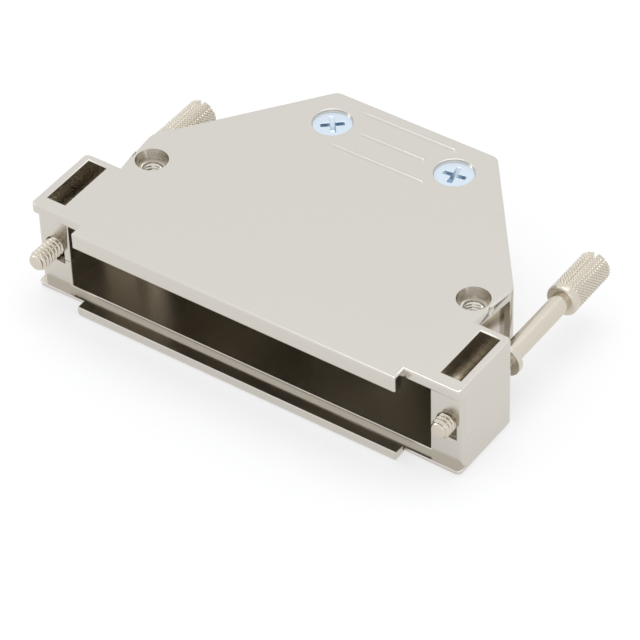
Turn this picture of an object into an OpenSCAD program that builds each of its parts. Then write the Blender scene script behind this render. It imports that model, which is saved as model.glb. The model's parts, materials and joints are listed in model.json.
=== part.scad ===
// D-sub hood, 37-way size: two nickel-plated die-cast shells around the back of the
// connector, closed by four M3 countersunk screws, with two captive knurled jackscrews.
// x runs across the mouth, y from the mouth to the cable exit, z up from the underside.

/* [Shells] */
// Height of the closed hood
hood_h = 15; // [14.6:0.2:16.4]
// Height of the parting line above the underside
part_z = 6; // [5.6:0.1:6.4]
// Overall width across the ears
ear_span = 69; // [68.6:0.2:70.6]
// Depth of the ears, front to back
ear_d = 12.5; // [12.3:0.1:13.3]
// Overall length from the ears' front to the cable end
body_len = 42.2; // [41.8:0.2:44.2]
// Width of the straight cable end
rear_w = 26.3; // [26.1:0.2:28.1]
// Width over the two side corners where the slanted sides start
side_w = 59; // [58.8:0.2:59.8]
// Rounding of the side corners in plan
side_r = 2; // [1.5:0.25:2.5]
// Rounding of the rear corners in plan
rear_r = 1.5; // [1:0.25:2]
// Rounding of the ears' outer corners in plan
ear_r = 0.8; // [0.4:0.1:1]
// Thickness of the floor and of the lower rails
floor_t = 1.83; // [1.7:0.01:1.95]
// Thickness of the top plate
top_t = 2; // [1.8:0.1:2.2]

/* [Mouth] */
// Width of the mouth between the ears
mouth_w = 58.4; // [57.6:0.2:58.8]
// How far the central lips stand forward of the ears
lip_out = 2.15; // [1.9:0.05:2.4]
// Width of the central lips
lip_w = 52; // [50:0.5:54]
// Depth of the flange groove behind the lips
groove_d = 1.41; // [1.3:0.01:1.5]
// How far the ears are set back behind their own lips
ear_back = 1.04; // [0.9:0.02:1.2]
// Height of the lower lips of the ears and of the groove floor
groove_z = 1; // [0.9:0.05:1.1]
// Clear height of the flange groove
groove_h = 12.6; // [12.5:0.05:12.7]

/* [Jackscrews] */
// Spacing of the two jackscrews, 63.5 on every 37-way connector
jack_span = 63.5; // [63.3:0.1:63.7]
// Height of the jackscrew axes
jack_z = 7.75; // [7.7:0.05:7.9]
// Radius of the 4-40 thread and of the plain shank
shank_r = 1.42; // [1.38:0.01:1.43]
// Radius of the neck that runs in the ear's back wall
neck_r = 1.25; // [1.2:0.01:1.28]
// Radius of the knurled head
head_r = 2.35; // [2.2:0.05:2.5]
// Length of the knurled head
head_l = 9.1; // [8:0.1:10]
// How far the left jackscrew's tip stands forward of the ears
left_tip = 3.25; // [2.5:0.05:3.25]
// How far the right jackscrew's tip stands forward of the ears
right_tip = 0.95; // [0.6:0.05:3.25]

/* [Screws and exits] */
// Spacing of the two front screw holes
front_span = 52.2; // [51.8:0.2:52.2]
// Distance of the front screw holes behind the ears' front
front_y = 16.2; // [16:0.1:16.6]
// Spacing of the two rear screws
rear_span = 20; // [19.8:0.2:20.4]
// Distance of the rear screws behind the ears' front
rear_y = 36.2; // [36:0.1:36.6]
// Radius of the M3 countersunk head
csk_r = 2.8; // [2.7:0.05:2.8]
// Radius of the three cable exits
exit_r = 5.5; // [4.5:0.1:5.5]

/* [Hidden] */
$fn = 72;
eps = 0.01;

// plan
ear_x = ear_span / 2;
jack_x = jack_span / 2;
side_x = side_w / 2;
side_y = 20.65;
rear_x = rear_w / 2;
neck_x = side_x - 0.8;
in_taper = 0.6;

// walls
slant_t = 2.6;
rear_t = 1.8;
side_in = 0.85;
side_t = 1.4;
step_y = 19.8;
band_low = 1.6;
band_top = 1.5;
ear_wall = 1.1;
ceiling_z = hood_h - top_t;
ear_wall_in = 1.4;

// slanted sides
slant_v = [rear_x - side_x, body_len - side_y];
slant_u = slant_v / norm(slant_v);
slant_n = [slant_u[1], -slant_u[0]];
slant_a = atan2(slant_n[1], slant_n[0]);
slant_mid = [side_x, side_y] + slant_v / 2;
exit_z = 7.5;

// lips
bead_h = 1.9;
bead_gap = groove_d - ear_back;
upper_lip_z = hood_h - 2.5;
upper_groove_z = groove_z + groove_h;
ear_lip_z = hood_h - 1.5;

// ears
pocket_w = 3;
pocket_y0 = 2.2;
pocket_y1 = ear_d - ear_wall;
pocket_z = part_z - 0.65;
neck_gap = 0.1;
tongue_gap = 0.05;
tongue_top = jack_z - 0.8;

// jackscrew stations, from the tip
tip_cham = 0.45;
neck_s = 10.7;
groove_s = 15.75;
ring_s = 15.8;
shank_s = 16.75;
head_s = 29.6;
ring_t = 0.9;
groove_r = 1.1;
ring_in = 1.15;
ring_out = 2.35;
ring_gap = 1.9;
head_round = 0.5;
slot_w = 0.8;
slot_d = 1.2;

// M3 screws
m3_r = 1.48;
m3_l = 12;
thread_r = 1.5;
clear_r = 1.6;
sunk = 0.4;
csk_gap = 0.05;
pillar_r = 3;
mouth_r = 2.35;
seat_r = 1.9;
seat_d = 1.66;
blind_z = 2;
cross_l = 1.75;
cross_w = 0.7;
cross_d = 1.5;
cross_core = 0.55;
cross_turn_left = 40;
cross_turn_right = 8;

// top lines
line_r = 0.35;
line_h = 0.22;
line_y = [rear_y - 4, rear_y, rear_y + 4];
line_x = [7.75, 5.3, 7.75];

// cable saddle
post_x = 8.2;
post_y = 30.5;
post_r = 2.3;
saddle_in = 4.6;
saddle_t = 0.9;
saddle_d = 4;
saddle_end = 11;
m25_r = 1.2;
m25_hole = 1.25;
m25_pass = 1.4;
m25_l = 5;
m25_head_r = 2.2;
m25_head_h = 1.5;
m25_slot_w = 0.7;
m25_slot_d = 0.7;

// blanking plugs
plug_gap = 0.05;
rim_r = exit_r + 0.5;
rim_t = 0.9;
rim_in = 0.85;
grip_r = 3.2;
grip_d = 0.8;

function unit(v) = v / norm(v);
function half_tan(u, w) = sqrt((1 - u * w) / (1 + u * w));
function half_sin(u, w) = sqrt((1 - u * w) / 2);
function corner_cut(a, p, b, r) = [p + unit(a - p) * r / half_tan(unit(a - p), unit(b - p)),
    p + unit(b - p) * r / half_tan(unit(a - p), unit(b - p))];
function corner_mid(a, p, b, r) = p + unit(unit(a - p) + unit(b - p)) * r
    / half_sin(unit(a - p), unit(b - p));

root_pt = [neck_x, ear_d];
side_pt = [side_x, side_y];
rear_pt = [rear_x, body_len];
rear_far = [-rear_x, body_len];

module both_sides() {
    children();
    mirror([1, 0, 0]) children();
}

// body behind the ears, seen from above, with the plan corners rounded
module body_prism(z0, z1) {
    side_cut = corner_cut(root_pt, side_pt, rear_pt, side_r);
    rear_cut = corner_cut(side_pt, rear_pt, rear_far, rear_r);
    side_c = corner_mid(root_pt, side_pt, rear_pt, side_r);
    rear_c = corner_mid(side_pt, rear_pt, rear_far, rear_r);
    both_sides() {
        translate([0, 0, z0])
            linear_extrude(z1 - z0)
                polygon([[-1, ear_d / 2], [neck_x, ear_d / 2], root_pt, side_cut[0], side_cut[1],
                    rear_cut[0], rear_cut[1], [-1, body_len]]);
        translate([side_c[0], side_c[1], z0]) cylinder(r = side_r, h = z1 - z0);
        translate([rear_c[0], rear_c[1], z0]) cylinder(r = rear_r, h = z1 - z0);
    }
}

// block across both ears from y0 back, its upright outer corners rounded
module ear_block(y0, z0, z1) {
    both_sides() {
        translate([0, 0, z0])
            linear_extrude(z1 - z0)
                polygon([[-1, y0], [ear_x - ear_r, y0], [ear_x, y0 + ear_r], [ear_x, ear_d - ear_r],
                    [ear_x - ear_r, ear_d], [-1, ear_d]]);
        for (y = [y0 + ear_r, ear_d - ear_r])
            translate([ear_x - ear_r, y, z0]) cylinder(r = ear_r, h = z1 - z0);
    }
}

// hollow for the connector's back and the wires
module cavity(z0, z1) {
    in_root = neck_x - side_in - side_t;
    in_side = side_pt - slant_n * slant_t;
    in_side_x = in_root + in_taper;
    in_side_y = in_side[1] + (in_side[0] - in_side_x) * slant_u[1] / -slant_u[0];
    in_rear_y = body_len - rear_t;
    in_rear_x = in_side_x + (in_rear_y - in_side_y) * slant_u[0] / slant_u[1];
    both_sides()
        translate([0, 0, z0])
            linear_extrude(z1 - z0)
                polygon([[-1, ear_back], [mouth_w / 2, ear_back], [mouth_w / 2, ear_d - ear_wall_in],
                    [in_root, ear_d - ear_wall_in], [in_side_x, in_side_y],
                    [in_rear_x, in_rear_y], [-1, in_rear_y]]);
}

// shallow hollow along the outside of each short side wall
module side_hollow() {
    wall_x = neck_x + (side_x - neck_x) * (step_y - ear_d) / (side_y - ear_d);
    both_sides()
        translate([0, 0, band_low])
            linear_extrude(hood_h - band_top - band_low)
                polygon([[neck_x - side_in, ear_d], [side_x + 3, ear_d],
                    [side_x + 3, step_y], [wall_x - side_in, step_y]]);
}

module slant_hole(r, s0, s1) {
    both_sides()
        translate([slant_mid[0], slant_mid[1], exit_z])
            rotate([0, 90, slant_a])
                translate([0, 0, -s1]) cylinder(r = r, h = s1 - s0);
}

// straight exit and the two slanted exits with the groove that holds their plugs
module exits() {
    translate([0, body_len - rear_t - 1, exit_z])
        rotate([-90, 0, 0]) cylinder(r = exit_r, h = rear_t + 2);
    slant_hole(exit_r, -1, slant_t + 1);
    slant_hole(rim_r, rim_in, rim_in + rim_t);
}

module jack_pocket() {
    both_sides()
        translate([jack_x - pocket_w / 2, pocket_y0, pocket_z])
            cube([pocket_w, pocket_y1 - pocket_y0, hood_h]);
}

// opening in the ear's front wall, round at the top, that the jackscrew lies in
module jack_front_slot() {
    both_sides()
        translate([jack_x, ear_back - 1, jack_z]) {
            rotate([-90, 0, 0]) cylinder(r = pocket_w / 2, h = pocket_y0 - ear_back + 2);
            translate([-pocket_w / 2, 0, pocket_z - jack_z])
                cube([pocket_w, pocket_y0 - ear_back + 2, jack_z - pocket_z]);
        }
}

module lower_shell() {
    color([0.8, 0.78, 0.73])
    difference() {
        union() {
            difference() {
                union() {
                    body_prism(0, part_z);
                    ear_block(ear_back, 0, part_z);
                    // ear lips, groove floor and central bead
                    ear_block(0, 0, groove_z);
                    translate([-lip_w / 2, -lip_out, 0]) cube([lip_w, lip_out + 1, groove_z]);
                    translate([-lip_w / 2, -lip_out, 0]) cube([lip_w, lip_out - bead_gap, bead_h]);
                }
                cavity(floor_t, part_z + 1);
                jack_pocket();
                jack_front_slot();
            }
            // tongues that close the necks' bearings from below
            both_sides()
                translate([jack_x - neck_r - tongue_gap, pocket_y1 + tongue_gap, part_z - 1])
                    cube([2 * (neck_r + tongue_gap), ear_wall - 2 * tongue_gap,
                        tongue_top - part_z + 1]);
            both_sides() {
                translate([front_span / 2, front_y, 0]) cylinder(r = pillar_r, h = part_z);
                translate([rear_span / 2, rear_y, 0]) cylinder(r = pillar_r, h = part_z);
                translate([post_x, post_y, 0]) cylinder(r = post_r, h = part_z);
            }
        }
        exits();
        side_hollow();
        both_sides() {
            translate([jack_x, 0, jack_z])
                rotate([-90, 0, 0]) cylinder(r = neck_r + neck_gap, h = ear_d + 1);
            translate([front_span / 2, front_y, -1]) cylinder(r = clear_r, h = part_z + 2);
            translate([front_span / 2, front_y, -1]) cylinder(r = csk_r + csk_gap, h = sunk + 1 + csk_gap);
            translate([front_span / 2, front_y, sunk + csk_gap])
                cylinder(r1 = csk_r + csk_gap, r2 = 0, h = csk_r + csk_gap);
            translate([rear_span / 2, rear_y, blind_z]) cylinder(r = thread_r, h = part_z);
            translate([post_x, post_y, blind_z - 1]) cylinder(r = m25_hole, h = part_z);
        }
    }
}

module upper_shell() {
    color([0.83, 0.81, 0.78])
    difference() {
        union() {
            difference() {
                union() {
                    body_prism(part_z, hood_h);
                    ear_block(ear_back, part_z, hood_h);
                    // lips
                    ear_block(0, ear_lip_z, hood_h);
                    translate([-lip_w / 2, -lip_out, upper_groove_z])
                        cube([lip_w, lip_out + 1, hood_h - upper_groove_z]);
                    translate([-lip_w / 2, -lip_out, upper_lip_z])
                        cube([lip_w, lip_out - bead_gap, hood_h - upper_lip_z]);
                }
                cavity(part_z - 1, ceiling_z);
                jack_pocket();
                jack_front_slot();
                // bearing of each jackscrew's neck
                both_sides() {
                    translate([jack_x, pocket_y1 - eps, jack_z])
                        rotate([-90, 0, 0]) cylinder(r = neck_r + neck_gap, h = ear_wall + 1);
                    translate([jack_x - neck_r - neck_gap, pocket_y1 - eps, part_z - 1])
                        cube([2 * (neck_r + neck_gap), ear_wall + 1, jack_z - part_z + 1]);
                }
            }
            both_sides() {
                translate([front_span / 2, front_y, part_z])
                    cylinder(r = pillar_r, h = hood_h - part_z - eps);
                translate([rear_span / 2, rear_y, part_z])
                    cylinder(r = pillar_r, h = hood_h - part_z - eps);
            }
            top_lines();
        }
        exits();
        side_hollow();
        both_sides() {
            // front holes, threaded for screws that come from below, with a tapered mouth
            translate([front_span / 2, front_y, part_z - 1]) cylinder(r = thread_r, h = hood_h);
            translate([front_span / 2, front_y, hood_h - seat_d])
                cylinder(r1 = seat_r, r2 = mouth_r, h = seat_d + eps);
            // rear holes, countersunk for screws from above
            translate([rear_span / 2, rear_y, part_z - 1]) cylinder(r = clear_r, h = hood_h);
            translate([rear_span / 2, rear_y, hood_h - sunk + csk_gap])
                cylinder(r = csk_r + csk_gap, h = 1);
            translate([rear_span / 2, rear_y, hood_h - sunk - csk_r])
                cylinder(r1 = 0, r2 = csk_r + csk_gap, h = csk_r + csk_gap);
        }
    }
}

// three raised lines across the top above the cable
module top_lines() {
    for (i = [0 : 2])
        translate([0, line_y[i], hood_h + line_h - line_r]) {
            translate([-line_x[i] + line_r, 0, 0])
                rotate([0, 90, 0]) cylinder(r = line_r, h = 2 * (line_x[i] - line_r));
            both_sides() translate([line_x[i] - line_r, 0, 0]) sphere(r = line_r);
        }
}

// M3 x 12 countersunk screw, head up at the origin
module m3_screw(turn) {
    difference() {
        union() {
            translate([0, 0, -csk_r]) cylinder(r1 = 0, r2 = csk_r, h = csk_r);
            translate([0, 0, -m3_l + tip_cham]) cylinder(r = m3_r, h = m3_l - tip_cham - csk_r + m3_r);
            translate([0, 0, -m3_l]) cylinder(r1 = m3_r - tip_cham, r2 = m3_r, h = tip_cham);
        }
        rotate([0, 0, turn])
            intersection() {
                translate([0, 0, -cross_d]) cylinder(r1 = cross_core, r2 = cross_l, h = cross_d + eps);
                union() {
                    translate([-cross_l, -cross_w / 2, -cross_d - 1]) cube([2 * cross_l, cross_w, 4]);
                    translate([-cross_w / 2, -cross_l, -cross_d - 1]) cube([cross_w, 2 * cross_l, 4]);
                }
            }
    }
}

module shell_screw_left() {
    color([0.78, 0.87, 0.95])
        translate([-rear_span / 2, rear_y, hood_h - sunk]) m3_screw(cross_turn_left);
}

module shell_screw_right() {
    color([0.78, 0.87, 0.95])
        translate([rear_span / 2, rear_y, hood_h - sunk]) m3_screw(cross_turn_right);
}

// captive jackscrew, tip at the origin, running along +y
module jackscrew() {
    end_s = head_s + head_l;
    difference() {
        rotate([-90, 0, 0])
            rotate_extrude()
                polygon([[0, 0], [shank_r - tip_cham, 0], [shank_r, tip_cham], [shank_r, neck_s],
                    [neck_r, neck_s], [neck_r, groove_s], [groove_r, groove_s],
                    [groove_r, shank_s], [shank_r, shank_s], [shank_r, head_s],
                    [head_r - head_round, head_s], [head_r, head_s + head_round],
                    [head_r, end_s - head_round], [head_r - head_round, end_s], [0, end_s]]);
        translate([-slot_w / 2, end_s - slot_d, -head_r - 1]) cube([slot_w, slot_d + 1, 2 * head_r + 2]);
    }
}

module jackscrew_left() {
    color([0.77, 0.74, 0.68]) translate([-jack_x, -left_tip, jack_z]) jackscrew();
}

module jackscrew_right() {
    color([0.77, 0.74, 0.68]) translate([jack_x, -right_tip, jack_z]) jackscrew();
}

// open ring snapped into the groove behind the ear
module retaining_ring() {
    difference() {
        rotate([-90, 0, 0])
            translate([0, 0, ring_s]) cylinder(r = ring_out, h = ring_t);
        rotate([-90, 0, 0])
            translate([0, 0, ring_s - 1]) cylinder(r = ring_in, h = ring_t + 2);
        translate([-ring_gap / 2, ring_s - 1, -ring_out - 1])
            cube([ring_gap, ring_t + 2, ring_out + 1]);
    }
}

module retaining_ring_left() {
    color([0.72, 0.7, 0.66]) translate([-jack_x, -left_tip, jack_z]) retaining_ring();
}

module retaining_ring_right() {
    color([0.72, 0.7, 0.66]) translate([jack_x, -right_tip, jack_z]) retaining_ring();
}

// arched strap over the cable
module cable_saddle() {
    color([0.75, 0.75, 0.73])
    difference() {
        union() {
            translate([-saddle_end, post_y - saddle_d / 2, part_z])
                cube([2 * saddle_end, saddle_d, saddle_t]);
            translate([0, post_y - saddle_d / 2, part_z])
                rotate([-90, 0, 0]) cylinder(r = saddle_in + saddle_t, h = saddle_d);
        }
        translate([0, post_y - saddle_d, part_z])
            rotate([-90, 0, 0]) cylinder(r = saddle_in, h = 2 * saddle_d);
        translate([-saddle_end, post_y - saddle_d, -part_z])
            cube([2 * saddle_end, 2 * saddle_d, 2 * part_z]);
        both_sides() translate([post_x, post_y, 0]) cylinder(r = m25_pass, h = hood_h);
    }
}

module saddle_screw() {
    difference() {
        union() {
            cylinder(r = m25_head_r, h = m25_head_h);
            translate([0, 0, -m25_l]) cylinder(r = m25_r, h = m25_l + eps);
        }
        translate([-m25_head_r - 1, -m25_slot_w / 2, m25_head_h - m25_slot_d])
            cube([2 * m25_head_r + 2, m25_slot_w, 1]);
    }
}

module saddle_screw_left() {
    color([0.78, 0.87, 0.95])
        translate([-post_x, post_y, part_z + saddle_t]) saddle_screw();
}

module saddle_screw_right() {
    color([0.78, 0.87, 0.95])
        translate([post_x, post_y, part_z + saddle_t]) saddle_screw();
}

// round plug held by its rim in the groove of a slanted exit
module blanking_plug() {
    translate([slant_mid[0], slant_mid[1], exit_z])
        rotate([0, 90, slant_a])
            difference() {
                union() {
                    translate([0, 0, -slant_t]) cylinder(r = exit_r - plug_gap, h = slant_t);
                    translate([0, 0, -rim_in - rim_t + plug_gap / 2])
                        cylinder(r = rim_r - plug_gap, h = rim_t - plug_gap);
                }
                translate([0, 0, -slant_t - 1]) cylinder(r = grip_r, h = grip_d + 1);
            }
}

module blanking_plug_left() {
    color([0.8, 0.78, 0.73]) mirror([1, 0, 0]) blanking_plug();
}

module blanking_plug_right() {
    color([0.8, 0.78, 0.73]) blanking_plug();
}

upper_shell();
lower_shell();
shell_screw_left();
shell_screw_right();
jackscrew_left();
jackscrew_right();
retaining_ring_left();
retaining_ring_right();
cable_saddle();
saddle_screw_left();
saddle_screw_right();
blanking_plug_left();
blanking_plug_right();
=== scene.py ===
import json
import math

import bmesh
import bpy
from mathutils import Matrix, Vector


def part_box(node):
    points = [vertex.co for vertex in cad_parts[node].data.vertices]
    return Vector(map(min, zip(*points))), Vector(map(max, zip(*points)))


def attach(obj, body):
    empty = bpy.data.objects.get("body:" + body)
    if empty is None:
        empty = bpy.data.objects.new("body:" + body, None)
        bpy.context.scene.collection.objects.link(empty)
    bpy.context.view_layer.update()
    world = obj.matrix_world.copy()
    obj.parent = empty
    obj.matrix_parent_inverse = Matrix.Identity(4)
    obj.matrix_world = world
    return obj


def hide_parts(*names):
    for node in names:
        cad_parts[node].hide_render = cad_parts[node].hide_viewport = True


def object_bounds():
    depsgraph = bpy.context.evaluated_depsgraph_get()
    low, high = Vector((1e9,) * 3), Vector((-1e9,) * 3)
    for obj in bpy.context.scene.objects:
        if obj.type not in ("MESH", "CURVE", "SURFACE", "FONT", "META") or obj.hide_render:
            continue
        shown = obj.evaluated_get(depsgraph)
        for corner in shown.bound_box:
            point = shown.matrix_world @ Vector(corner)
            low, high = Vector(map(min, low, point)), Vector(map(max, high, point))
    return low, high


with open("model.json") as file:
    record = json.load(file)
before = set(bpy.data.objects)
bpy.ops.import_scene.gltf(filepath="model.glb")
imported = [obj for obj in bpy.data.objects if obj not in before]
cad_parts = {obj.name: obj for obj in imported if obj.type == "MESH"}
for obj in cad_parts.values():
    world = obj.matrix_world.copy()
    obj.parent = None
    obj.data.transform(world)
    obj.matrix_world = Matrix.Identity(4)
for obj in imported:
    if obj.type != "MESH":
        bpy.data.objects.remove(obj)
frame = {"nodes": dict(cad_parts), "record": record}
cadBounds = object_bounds()
nodes = frame["nodes"]
mm = 0.001
print("frame loaded:", len(nodes), "nodes")


cameraView = {
    "azimuth": 36.17,       # degrees, from straight in front of the mouth towards the right ear
    "elevation": 42.04,
    "roll": -2.13,
    "place": (0.2213, -0.2848, 0.3352),
    "lens": 207.9,
}


def placeCamera(view):
    azimuth, elevation, roll = (math.radians(view[k]) for k in ("azimuth", "elevation", "roll"))
    back = Vector((math.sin(azimuth) * math.cos(elevation),
                   -math.cos(azimuth) * math.cos(elevation), math.sin(elevation)))
    right = Vector((math.cos(azimuth), math.sin(azimuth), 0))
    up = back.cross(right)
    across = right * math.cos(roll) + up * math.sin(roll)
    upright = up * math.cos(roll) - right * math.sin(roll)
    camera = bpy.data.objects.new("camera", bpy.data.cameras.new("camera"))
    camera.matrix_world = Matrix.Translation(view["place"]) @ Matrix(
        (across, upright, back)).transposed().to_4x4()
    camera.data.lens = view["lens"]
    camera.data.sensor_width = 36
    camera.data.clip_start = 0.01
    camera.data.clip_end = 20
    bpy.context.collection.objects.link(camera)
    bpy.context.scene.camera = camera


studio = {
    "floorSize": 6.0,           # metres
    "floorGap": 0.02,           # millimetres under the hood
    "aim": (0, 0.018, 0.007),   # the hood's middle
    "floorColor": (0.32, 0.32, 0.32, 1),
    "floorGlow": 0.61,          # the floor is a light table, so shadows stay faint
    "horizon": (0.93, 0.955, 1.0, 1),
    "zenith": (0.97, 0.98, 1.0, 1),
    "skyStrength": 1.12,
    "glossyBounces": 10,        # light finds its way into the plated hollow
    # name, place, size, watts
    "lamps": [
        ("overhead_softbox", (-0.05, 0.25, 0.75), (0.55, 0.35), 1.5),
        ("front_softbox", (0.55, -0.75, 0.45), (0.6, 0.5), 0.35),
        ("side_strip", (-0.65, -0.25, 0.4), (0.15, 0.5), 0.5),
    ],
}


def layFloor(settings):
    half = settings["floorSize"] / 2
    mesh = bpy.data.meshes.new("floor")
    mesh.from_pydata([(-half, -half, 0), (half, -half, 0), (half, half, 0), (-half, half, 0)],
                     [], [(0, 1, 2, 3)])
    floor = bpy.data.objects.new("floor", mesh)
    floor.location.z = cadBounds[0][2] - settings["floorGap"] * mm
    bpy.context.collection.objects.link(floor)
    material = bpy.data.materials.new("pale_floor")
    material.use_nodes = True
    shader = material.node_tree.nodes["Principled BSDF"]
    shader.inputs["Base Color"].default_value = settings["floorColor"]
    shader.inputs["Roughness"].default_value = 0.9
    shader.inputs["Specular IOR Level"].default_value = 0.1
    shader.inputs["Emission Color"].default_value = (1, 1, 1, 1)
    shader.inputs["Emission Strength"].default_value = settings["floorGlow"]
    mesh.materials.append(material)


def lightStudio(settings):
    world = bpy.data.worlds.new("studio")
    world.use_nodes = True
    tree = world.node_tree
    background = tree.nodes["Background"]
    background.inputs["Strength"].default_value = settings["skyStrength"]
    # paler overhead than at the horizon
    direction = tree.nodes.new("ShaderNodeTexCoord")
    split = tree.nodes.new("ShaderNodeSeparateXYZ")
    blend = tree.nodes.new("ShaderNodeValToRGB")
    blend.color_ramp.elements[0].color = settings["horizon"]
    blend.color_ramp.elements[1].color = settings["zenith"]
    tree.links.new(direction.outputs["Generated"], split.inputs[0])
    tree.links.new(split.outputs["Z"], blend.inputs["Fac"])
    tree.links.new(blend.outputs["Color"], background.inputs["Color"])
    bpy.context.scene.world = world
    bpy.context.scene.cycles.glossy_bounces = settings["glossyBounces"]
    for name, place, size, watts in settings["lamps"]:
        lamp = bpy.data.lights.new(name, "AREA")
        lamp.shape = "RECTANGLE"
        lamp.size, lamp.size_y = size
        lamp.energy = watts
        holder = bpy.data.objects.new(name, lamp)
        holder.location = place
        aim = Vector(settings["aim"]) - Vector(place)
        holder.rotation_euler = aim.to_track_quat("-Z", "Y").to_euler()
        bpy.context.collection.objects.link(holder)


placeCamera(cameraView)
layFloor(studio)
lightStudio(studio)
bpy.context.scene.view_settings.view_transform = "Standard"
print("studio set")


def newGroup(name, inputs, outputs):
    group = bpy.data.node_groups.new(name, "ShaderNodeTree")
    for label, kind, value in inputs:
        socket = group.interface.new_socket(label, in_out="INPUT", socket_type=kind)
        socket.default_value = value
    for label, kind in outputs:
        group.interface.new_socket(label, in_out="OUTPUT", socket_type=kind)
    return group, group.nodes.new("NodeGroupInput"), group.nodes.new("NodeGroupOutput")


def addMath(tree, operation, first, second):
    node = tree.nodes.new("ShaderNodeMath")
    node.operation = operation
    for socket, value in zip(node.inputs, (first, second)):
        if isinstance(value, (int, float)):
            socket.default_value = value
        else:
            tree.links.new(value, socket)
    return node.outputs[0]


def addNoise(tree, place, scale, detail):
    noise = tree.nodes.new("ShaderNodeTexNoise")
    noise.inputs["Detail"].default_value = detail
    tree.links.new(place, noise.inputs["Vector"])
    if isinstance(scale, (int, float)):
        noise.inputs["Scale"].default_value = scale
    else:
        tree.links.new(scale, noise.inputs["Scale"])
    return noise.outputs["Fac"]


# cloudy change of tone and roughness, as plating has it
def buildPlatingTone():
    tree, source, out = newGroup("plating_tone", [
        ("Color", "NodeSocketColor", (0.7, 0.7, 0.7, 1)),
        ("Tint", "NodeSocketColor", (0.6, 0.55, 0.5, 1)),
        ("Tint amount", "NodeSocketFloat", 0.3),
        ("Cloud scale", "NodeSocketFloat", 90.0),
        ("Roughness", "NodeSocketFloat", 0.3),
        ("Roughness spread", "NodeSocketFloat", 0.08),
    ], [("Color", "NodeSocketColor"), ("Roughness", "NodeSocketFloat")])
    place = tree.nodes.new("ShaderNodeTexCoord").outputs["Object"]
    cloud = addNoise(tree, place, source.outputs["Cloud scale"], 4)
    amount = addMath(tree, "MULTIPLY", cloud, source.outputs["Tint amount"])
    mix = tree.nodes.new("ShaderNodeMix")
    mix.data_type = "RGBA"
    tree.links.new(amount, mix.inputs["Factor"])
    tree.links.new(source.outputs["Color"], mix.inputs["A"])
    tree.links.new(source.outputs["Tint"], mix.inputs["B"])
    tree.links.new(mix.outputs["Result"], out.inputs["Color"])
    spread = addMath(tree, "MULTIPLY", addMath(tree, "SUBTRACT", cloud, 0.5),
                     source.outputs["Roughness spread"])
    tree.links.new(addMath(tree, "ADD", source.outputs["Roughness"], spread), out.inputs["Roughness"])
    return tree


# fine pitted grain of a plated casting or a turned face
def buildMetalGrain():
    tree, source, out = newGroup("metal_grain", [
        ("Grain size", "NodeSocketFloat", 0.2),
        ("Stretch", "NodeSocketVector", (1, 1, 1)),
        ("Pits", "NodeSocketFloat", 0.4),
    ], [("Height", "NodeSocketFloat")])
    place = tree.nodes.new("ShaderNodeTexCoord").outputs["Object"]
    stretched = tree.nodes.new("ShaderNodeVectorMath")
    stretched.operation = "MULTIPLY"
    tree.links.new(place, stretched.inputs[0])
    tree.links.new(source.outputs["Stretch"], stretched.inputs[1])
    scale = addMath(tree, "DIVIDE", 1000.0, source.outputs["Grain size"])
    fine = addNoise(tree, stretched.outputs[0], scale, 3)
    coarse = addNoise(tree, stretched.outputs[0], addMath(tree, "MULTIPLY", scale, 0.23), 2)
    pitted = addMath(tree, "MULTIPLY", coarse, source.outputs["Pits"])
    tree.links.new(addMath(tree, "ADD", fine, pitted), out.inputs["Height"])
    return tree


platingTone = buildPlatingTone()
metalGrain = buildMetalGrain()


def plateMetal(name, look):
    material = bpy.data.materials.new(name)
    material.use_nodes = True
    tree = material.node_tree
    shader = tree.nodes["Principled BSDF"]
    shader.inputs["Metallic"].default_value = 1.0
    tone = tree.nodes.new("ShaderNodeGroup")
    tone.node_tree = platingTone
    for label, key in (("Color", "color"), ("Tint", "tint"), ("Tint amount", "tintAmount"),
                       ("Cloud scale", "cloudScale"), ("Roughness", "roughness"),
                       ("Roughness spread", "roughnessSpread")):
        tone.inputs[label].default_value = look[key]
    tree.links.new(tone.outputs["Color"], shader.inputs["Base Color"])
    tree.links.new(tone.outputs["Roughness"], shader.inputs["Roughness"])
    grain = tree.nodes.new("ShaderNodeGroup")
    grain.node_tree = metalGrain
    grain.inputs["Grain size"].default_value = look["grainSize"]
    grain.inputs["Stretch"].default_value = look["grainStretch"]
    grain.inputs["Pits"].default_value = look["pits"]
    bump = tree.nodes.new("ShaderNodeBump")
    bump.inputs["Strength"].default_value = look["grainStrength"]
    bump.inputs["Distance"].default_value = look["grainDepth"] * mm
    tree.links.new(grain.outputs["Height"], bump.inputs["Height"])
    tree.links.new(bump.outputs["Normal"], shader.inputs["Normal"])
    return material


castNickelLook = {
    "color": (0.63, 0.597, 0.54, 1), "tint": (0.58, 0.545, 0.475, 1), "tintAmount": 0.3,
    "cloudScale": 60.0, "roughness": 0.2, "roughnessSpread": 0.06,
    "grainSize": 0.22, "grainStretch": (1, 1, 1), "pits": 0.8,
    "grainStrength": 0.1, "grainDepth": 0.002,
}
turnedNickelLook = {
    "color": (0.65, 0.60, 0.51, 1), "tint": (0.56, 0.50, 0.41, 1), "tintAmount": 0.4,
    "cloudScale": 150.0, "roughness": 0.2, "roughnessSpread": 0.08,
    "grainSize": 0.12, "grainStretch": (0.3, 4.0, 0.3), "pits": 0.3,
    "grainStrength": 0.25, "grainDepth": 0.006,
}
blueZincLook = {
    "color": (0.63, 0.70, 0.76, 1), "tint": (0.50, 0.61, 0.72, 1), "tintAmount": 0.3,
    "cloudScale": 220.0, "roughness": 0.3, "roughnessSpread": 0.1,
    "grainSize": 0.15, "grainStretch": (1, 1, 1), "pits": 0.5,
    "grainStrength": 0.3, "grainDepth": 0.01,
}
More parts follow.
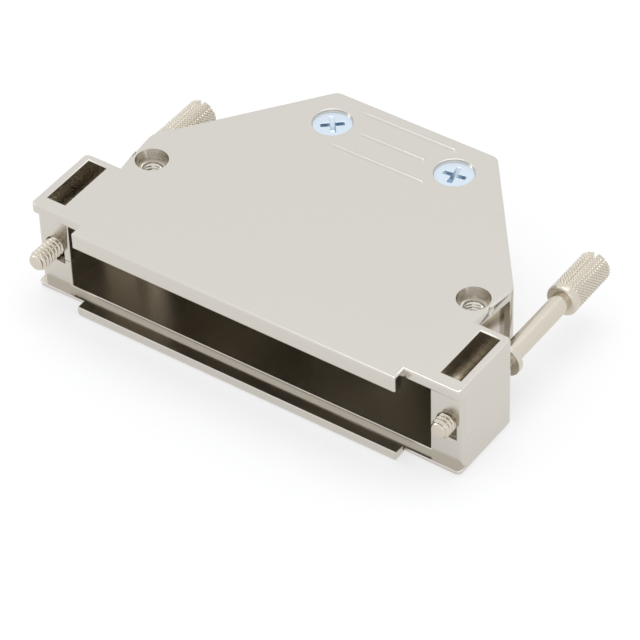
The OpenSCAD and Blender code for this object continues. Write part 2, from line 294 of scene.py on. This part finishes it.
springSteelLook = {
    "color": (0.66, 0.61, 0.53, 1), "tint": (0.5, 0.46, 0.4, 1), "tintAmount": 0.4,
    "cloudScale": 200.0, "roughness": 0.24, "roughnessSpread": 0.08,
    "grainSize": 0.1, "grainStretch": (1, 1, 1), "pits": 0.2,
    "grainStrength": 0.2, "grainDepth": 0.006,
}
saddleSteelLook = {
    "color": (0.68, 0.66, 0.62, 1), "tint": (0.55, 0.53, 0.5, 1), "tintAmount": 0.4,
    "cloudScale": 120.0, "roughness": 0.32, "roughnessSpread": 0.1,
    "grainSize": 0.18, "grainStretch": (0.5, 3.0, 1), "pits": 0.4,
    "grainStrength": 0.3, "grainDepth": 0.01,
}
finishes = {
    "nickel_cast": plateMetal("cast_nickel", castNickelLook),
    "nickel_turned": plateMetal("turned_nickel", turnedNickelLook),
    "blue_zinc": plateMetal("blue_zinc", blueZincLook),
    "spring_steel": plateMetal("spring_steel", springSteelLook),
    "saddle_steel": plateMetal("saddle_steel", saddleSteelLook),
}
nodeSlots = {s["node"]: s["material_slot"] for s in frame["record"]["subparts"]}
nodeBodies = {n: body for body, names in frame["record"]["behaviour"]["bodies"].items() for n in names}
frontHoles = [m for m in frame["record"]["mounts"] if m["name"] == "front_screw_holes"][0]
frontReach = frontHoles["dims"]["spacing_x_mm"] * mm / 2
print("finishes made")


def addPiece(name, mesh, node, replace=True):
    piece = bpy.data.objects.new(name, mesh)
    bpy.context.collection.objects.link(piece)
    mesh.materials.clear()
    mesh.materials.append(finishes[nodeSlots[node]])
    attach(piece, nodeBodies[node])
    if replace:
        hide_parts(node)
    return piece


def settleShading(mesh, degrees):
    mesh.shade_smooth()
    mesh.set_sharp_from_angle(angle=math.radians(degrees))


# each corner averages, by area, the faces around it that are turned less than the given angle from its own
def settleNormals(mesh, degrees):
    mesh.shade_smooth()
    limit = math.cos(math.radians(degrees))
    around = [[] for vert in mesh.vertices]
    faces = [(face.normal.copy(), face.area, tuple(face.vertices)) for face in mesh.polygons]
    for normal, area, corners in faces:
        for corner in corners:
            around[corner].append((normal, area))
    normals = []
    for own, _, corners in faces:
        for corner in corners:
            total = Vector()
            for normal, area in around[corner]:
                if normal.dot(own) > limit:
                    total += normal * area
            normals.append(total.normalized() if total.length > 0 else own)
    mesh.normals_split_custom_set(normals)


def meshAfterModifiers(piece):
    graph = bpy.context.evaluated_depsgraph_get()
    return bpy.data.meshes.new_from_object(piece.evaluated_get(graph), depsgraph=graph)


edgeWork = {
    "weld": 0.002,          # millimetres
    "merged": 0.4,          # degrees, under which faces of one surface are joined
    "coplanar": 0.5,        # degrees, up to which touching faces lie in one plane
    "corner": 33.0,         # degrees, over which an edge is rounded
    "shared": 40,           # degrees, within which faces share a normal
    "segments": 3,
    "onPlane": 1e-7,        # metres
    "upFacing": 0.7,        # height of a face's normal, over which it lies flat
}


# sets of faces that lie in one plane and touch
def flatGroups(form):
    groups, seen = [], set()
    for start in form.faces:
        if start in seen:
            continue
        seen.add(start)
        group, front = [start], [start]
        while front:
            for edge in front.pop().edges:
                if edge.calc_face_angle(1.0) > math.radians(edgeWork["coplanar"]):
                    continue
                for face in edge.link_faces:
                    if face not in seen:
                        seen.add(face)
                        group.append(face)
                        front.append(face)
        groups.append(group)
    return groups


# middles along an axis of the holes in a flat group of faces
def holeMiddles(group, axis):
    members = set(group)
    rims = {e for f in group for e in f.edges if sum(g in members for g in e.link_faces) == 1}
    loops = []
    while rims:
        points, front = [], [rims.pop()]
        while front:
            for vert in front.pop().verts:
                points.append(vert.co)
                following = [e for e in vert.link_edges if e in rims]
                rims.difference_update(following)
                front.extend(following)
        corners = [[pick(p[i] for p in points) for i in range(3)] for pick in (min, max)]
        loops.append((math.dist(*corners), (corners[0][axis] + corners[1][axis]) / 2))
    loops.sort()
    return sorted({round(middle, 6) for size, middle in loops[:-1]})


# cuts each flat face straight through its holes, in place of the slivers that joined them to its rim
def cutThroughHoles(form):
    sliver = form.edges.layers.int.new("sliver")
    for group in flatGroups(form):
        if len(group) < 2:
            continue
        members = set(group)
        for edge in {e for f in group for e in f.edges}:
            edge[sliver] = int(all(f in members for f in edge.link_faces))
        axis = 1 if abs(group[0].normal.z) > edgeWork["upFacing"] else 2
        across = Vector([float(i == axis) for i in range(3)])
        faces = group
        for middle in holeMiddles(group, axis):
            parts = faces + list({e for f in faces for e in f.edges})
            parts += list({v for f in faces for v in f.verts})
            cut = bmesh.ops.bisect_plane(form, geom=parts, dist=edgeWork["onPlane"],
                                         plane_co=across * middle, plane_no=across)
            faces = [g for g in cut["geom"] if isinstance(g, bmesh.types.BMFace)]
    bmesh.ops.dissolve_edges(form, edges=[e for e in form.edges if e[sliver]], use_verts=False)


# a copy of a frame solid with its sharp edges rounded; roundingOf gives each edge's radius in millimetres
def roundEdges(name, node, roundingOf, largest):
    form = bmesh.new()
    form.from_mesh(nodes[node].data)
    bmesh.ops.remove_doubles(form, verts=form.verts, dist=edgeWork["weld"] * mm)
    bmesh.ops.dissolve_limit(form, angle_limit=math.radians(edgeWork["merged"]), verts=form.verts,
                             edges=form.edges)
    cutThroughHoles(form)
    weights = form.edges.layers.float.new("bevel_weight_edge")
    for edge in form.edges:
        if len(edge.link_faces) == 2 and edge.calc_face_angle(0) > math.radians(edgeWork["corner"]):
            edge[weights] = roundingOf(edge) / largest
    mesh = bpy.data.meshes.new(name)
    form.to_mesh(mesh)
    form.free()
    blank = bpy.data.objects.new(name + "_blank", mesh)
    bpy.context.collection.objects.link(blank)
    bevel = blank.modifiers.new("round", "BEVEL")
    bevel.limit_method = "WEIGHT"
    bevel.width = largest * mm
    bevel.segments = edgeWork["segments"]
    bevel.use_clamp_overlap = False
    rounded = meshAfterModifiers(blank)
    rounded.name = name
    bpy.data.objects.remove(blank)
    bpy.data.meshes.remove(mesh)
    settleNormals(rounded, edgeWork["shared"])
    return addPiece(name, rounded, node)


# the faces between neighbouring rings of points
def ringFaces(rings, columns):
    faces = []
    for ring in range(rings - 1):
        for c in range(columns):
            n = (c + 1) % columns
            a, b = ring * columns, (ring + 1) * columns
            faces.append((a + c, b + c, b + n, a + n))
    return faces


# evenly spaced values from start to end
def spaced(start, end, steps):
    return [start + (end - start) * s / steps for s in range(steps + 1)]


# a turned form along +Y from rows of (distance, radius); a radius may be a function of the angle
def turnForm(name, axis, rows, columns):
    points = []
    for distance, radius in rows:
        for c in range(columns):
            angle = 2 * math.pi * c / columns
            r = (radius(angle) if callable(radius) else radius) * mm
            points.append((axis.x + r * math.cos(angle), axis.y + distance * mm,
                           axis.z + r * math.sin(angle)))
    faces = ringFaces(len(rows), columns)
    faces.append(tuple(range(columns)))
    last = (len(rows) - 1) * columns
    faces.append(tuple(last + c for c in reversed(range(columns))))
    mesh = bpy.data.meshes.new(name)
    mesh.from_pydata(points, [], faces)
    mesh.validate()
    return mesh


def triangleWave(turns):
    return abs(2 * (turns - math.floor(turns)) - 1)


shellRounding = {           # radii in millimetres
    "topEdge": 0.32,
    "bottomEdge": 0.8,
    "upright": 0.3,
    "pocketRim": 0.2,
    "holeRim": 0.12,
    "seam": 0.1,
    "inner": 0.16,
}
shellZones = {              # millimetres, the same on both sides
    "level": 0.05,              # heights this close count as one
    "headSunk": 0.4,            # from a rear screw's head up to the top face
    "hollowFrom": 27,           # the side hollows lie beyond this x
    "hollowSpan": (12.3, 21.5),
    "pocketHalf": 1.75,
    "pocketSpan": (1.3, 12.6),
    "plugMargin": 0.8,
    "rimReach": 2.88,
    "rearFrom": 20,             # between the front holes and the rear ones
    "earCorner": (33.5, 2),     # the seam stays sharp outside and in front of this
    "uprightLength": 2,
    "uprightShare": 0.9,        # of an edge's length that is height
}


def roundShells(rounding, zones):
    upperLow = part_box("upper_shell")[0]
    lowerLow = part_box("lower_shell")[0]
    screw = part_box("shell_screw_right")
    rearHole = (screw[0] + screw[1]) / 2
    holes = [(rearHole.x, rearHole.y), (frontReach, frontHoles["pos_m"][1])]
    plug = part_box("blanking_plug_right")
    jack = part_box("jackscrew_right")
    jackX = (jack[0][0] + jack[1][0]) / 2
    topZ = screw[1][2] + zones["headSunk"] * mm
    seamZ = upperLow[2]
    near = zones["level"] * mm
    margin = zones["plugMargin"] * mm
    hollowFront, hollowBack = (place * mm for place in zones["hollowSpan"])
    pocketFront, pocketBack = (place * mm for place in zones["pocketSpan"])
    earX, earY = (place * mm for place in zones["earCorner"])

    def roundingOf(edge):
        a, b = (v.co for v in edge.verts)
        middle = (a + b) / 2
        x, y = abs(middle.x), middle.y
        level = abs(a.z - b.z) < near
        beside = x > zones["hollowFrom"] * mm and hollowFront < y < hollowBack
        inPocket = abs(x - jackX) < zones["pocketHalf"] * mm and pocketFront < y < pocketBack
        byPlug = all(low - margin < place < high + margin
                     for low, place, high in zip(plug[0], (x, y, middle.z), plug[1]))
        crowded = (beside or inPocket or byPlug) and abs(middle.z - topZ) > near
        if not edge.is_convex or crowded:
            return 0.0
        if any(math.hypot(x - hx, y - hy) < zones["rimReach"] * mm for hx, hy in holes):
            return 0.0 if y < zones["rearFrom"] * mm else rounding["holeRim"]
        if level and abs(middle.z - topZ) < near:
            return rounding["pocketRim"] if inPocket else rounding["topEdge"]
        if level and abs(middle.z - lowerLow[2]) < near:
            return rounding["bottomEdge"]
        if level and abs(middle.z - seamZ) < near:
            return 0.0 if x > earX and y < earY else rounding["seam"]
        if abs(a.z - b.z) > zones["uprightShare"] * (a - b).length:
            long = (a - b).length > zones["uprightLength"] * mm
            return rounding["upright"] if long else rounding["inner"]
        return rounding["inner"]

    roundEdges("upper_casting", "upper_shell", roundingOf, rounding["bottomEdge"])
    roundEdges("lower_casting", "lower_shell", roundingOf, rounding["bottomEdge"])


roundShells(shellRounding, shellZones)
print("castings rounded")


frontThread = {
    "pitch": 0.5, "major": 1.5, "minor": 1.24, "columns": 60, "stepsPerTurn": 8,
    "top": 13.33, "bottom": 6.2,
    "flank": 1.25, "sleeve": 0.15, "smooth": 50,
}


def cutFrontThreads(thread):
    middleY = frontHoles["pos_m"][1]
    height = thread["top"] - thread["bottom"]
    steps = round(height / thread["pitch"] * thread["stepsPerTurn"])
    columns = thread["columns"]
    for side, sign in (("left", -1), ("right", 1)):
        points = []
        for step in range(steps + 1):
            along = height * step / steps
            fade = min(1.0, along / thread["pitch"], (height - along) / thread["pitch"])
            for c in range(columns):
                angle = 2 * math.pi * c / columns
                wave = triangleWave(along / thread["pitch"] - angle / (2 * math.pi))
                rise = min(1.0, thread["flank"] * wave) * fade
                r = (thread["major"] - (thread["major"] - thread["minor"]) * rise) * mm
                points.append((sign * frontReach + r * math.cos(angle), middleY + r * math.sin(angle),
                               (thread["bottom"] + along) * mm))
        inner = len(points)
        outerRadius = (thread["major"] + thread["sleeve"]) * mm
        for z in (thread["bottom"], thread["top"]):
            for c in range(columns):
                angle = 2 * math.pi * c / columns
                points.append((sign * frontReach + outerRadius * math.cos(angle),
                               middleY + outerRadius * math.sin(angle), z * mm))
        faces = ringFaces(steps + 1, columns)
        low, high, top = inner, inner + columns, steps * columns
        for c in range(columns):
            n = (c + 1) % columns
            faces.append((low + c, low + n, high + n, high + c))
            faces.append((c, n, low + n, low + c))
            faces.append((top + n, top + c, high + c, high + n))
        mesh = bpy.data.meshes.new("front_thread_" + side)
        mesh.from_pydata(points, [], faces)
        mesh.validate()
        settleShading(mesh, thread["smooth"])
        addPiece("front_thread_" + side, mesh, "upper_shell", replace=False)


cutFrontThreads(frontThread)
print("front holes threaded")


jackscrew = {
    "columns": 192,
    "pitch": 25.4 / 40, "major": 1.42, "minor": 1.06, "threadLength": 7.0, "stepsPerTurn": 9,
    "shoulder": 10.7, "neck": 1.25, "groove": (15.75, 16.75, 1.10),
    "head": (29.6, 38.7, 2.35), "band": 1.25, "edge": 0.5,
    "knurlStarts": 28, "knurlDepth": 0.16, "knurlSteps": 8,
    "slotWidth": 0.8, "slotDepth": 1.2, "slotReach": 6,
    "threadStart": 0.04, "startTurns": 0.9, "fadeTurns": 1.5, "tipChamfer": 0.38, "threadFlank": 1.2,
    "knurlFlank": 1.35, "knurlRunOut": 0.25, "knurlEnd": 0.02,
    "bandSteps": 6, "smooth": 38,
}


def turnJackscrews(j):
    shank = j["major"]
    headStart, headEnd, headRadius = j["head"]

    def threadRadius(distance):
        fade = min(1.0, max(0.0, (j["threadLength"] - distance) / (j["fadeTurns"] * j["pitch"])))
        start = min(1.0, distance / (j["startTurns"] * j["pitch"]))
        chamfer = shank - j["tipChamfer"] * (1 - start)

        def radius(angle):
            wave = triangleWave(distance / j["pitch"] - angle / (2 * math.pi))
            groove = max(0.0, 1.0 - j["threadFlank"] * wave) * (shank - j["minor"]) * fade
            return max(j["minor"] - 0.02, chamfer - groove * start)
        return radius

    def knurlRadius(distance):
        inEdge = headEnd - distance
        rounding = j["edge"] - math.sqrt(max(0.0, j["edge"] ** 2 - max(0.0, j["edge"] - inEdge) ** 2))
        runOut = (distance - headStart - j["band"]) / j["knurlRunOut"]
        depth = j["knurlDepth"] * min(1.0, runOut, 0.3 + inEdge / 0.4)
        lead = 2 * math.pi * headRadius

        def radius(angle):
            around = angle / (2 * math.pi) * j["knurlStarts"]
            along = distance * j["knurlStarts"] / lead
            crest = min(1 - triangleWave(around + along), 1 - triangleWave(around - along))
            return headRadius - rounding - depth * (1 - min(1.0, j["knurlFlank"] * crest))
        return radius

    rows = [(0.0, 0.35), (0.0, shank - 0.42)]
    threadSteps = round(j["threadLength"] / j["pitch"] * j["stepsPerTurn"])
    rows += [(d, threadRadius(d)) for d in spaced(j["threadStart"], j["threadLength"], threadSteps)]
    rows += [(j["shoulder"] - 0.1, shank), (j["shoulder"], shank - 0.1), (j["shoulder"], j["neck"])]
    grooveStart, grooveEnd, grooveRadius = j["groove"]
    rows += [(grooveStart, j["neck"]), (grooveStart, grooveRadius), (grooveEnd, grooveRadius),
             (grooveEnd, shank - 0.08), (grooveEnd + 0.08, shank), (headStart, shank)]
    edge = j["edge"]
    for turn in spaced(0, math.pi / 2, j["bandSteps"]):     # rounded front of the smooth band
        rows.append((headStart + edge * (1 - math.cos(turn)), headRadius - edge * (1 - math.sin(turn))))
    rows.append((headStart + j["band"] - 0.05, headRadius))
    knurlStart = headStart + j["band"]
    stepLength = 2 * math.pi * headRadius / j["knurlStarts"] / j["knurlSteps"]
    knurlEnd = headEnd - j["knurlEnd"]
    knurlRows = round((knurlEnd - knurlStart) / stepLength)
    rows += [(d, knurlRadius(d)) for d in spaced(knurlStart, knurlEnd, knurlRows)]
    rows += [(headEnd, headRadius - edge - 0.1), (headEnd, 0.4)]
    for side in ("left", "right"):
        node = "jackscrew_" + side
        low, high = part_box(node)
        axis = Vector(((low[0] + high[0]) / 2, low[1], (low[2] + high[2]) / 2))
        mesh = turnForm(node + "_blank", axis, rows, j["columns"])
        blank = bpy.data.objects.new(node + "_blank", mesh)
        bpy.context.collection.objects.link(blank)
        bar = bmesh.new()
        bmesh.ops.create_cube(bar, size=1.0, matrix=Matrix.Translation(
            (axis.x, axis.y + headEnd * mm, axis.z)) @ Matrix.Diagonal(
            (j["slotWidth"] * mm, 2 * j["slotDepth"] * mm, j["slotReach"] * mm, 1)))
        barMesh = bpy.data.meshes.new("slot_bar")
        bar.to_mesh(barMesh)
        bar.free()
        cutter = bpy.data.objects.new("slot_bar", barMesh)
        bpy.context.collection.objects.link(cutter)
        cut = blank.modifiers.new("slot", "BOOLEAN")
        cut.operation = "DIFFERENCE"
        cut.solver = "EXACT"
        cut.object = cutter
        slotted = meshAfterModifiers(blank)
        slotted.name = node + "_turned"
        bpy.data.objects.remove(blank)
        bpy.data.objects.remove(cutter)
        settleShading(slotted, j["smooth"])
        addPiece(node + "_turned", slotted, node)


turnJackscrews(jackscrew)
print("jackscrews turned")


smallRounding = {
    "retaining_ring": 0.1, "shell_screw": 0.06, "saddle_screw": 0.12, "cable_saddle": 0.12,
    "blanking_plug": 0.15,
}


def roundSmallParts(rounding):
    for node in nodes:
        for stem, radius in rounding.items():
            if node.startswith(stem):
                roundEdges(node + "_dressed", node, lambda edge: radius if edge.is_convex else 0.0, radius)


roundSmallParts(smallRounding)
print("small parts rounded")
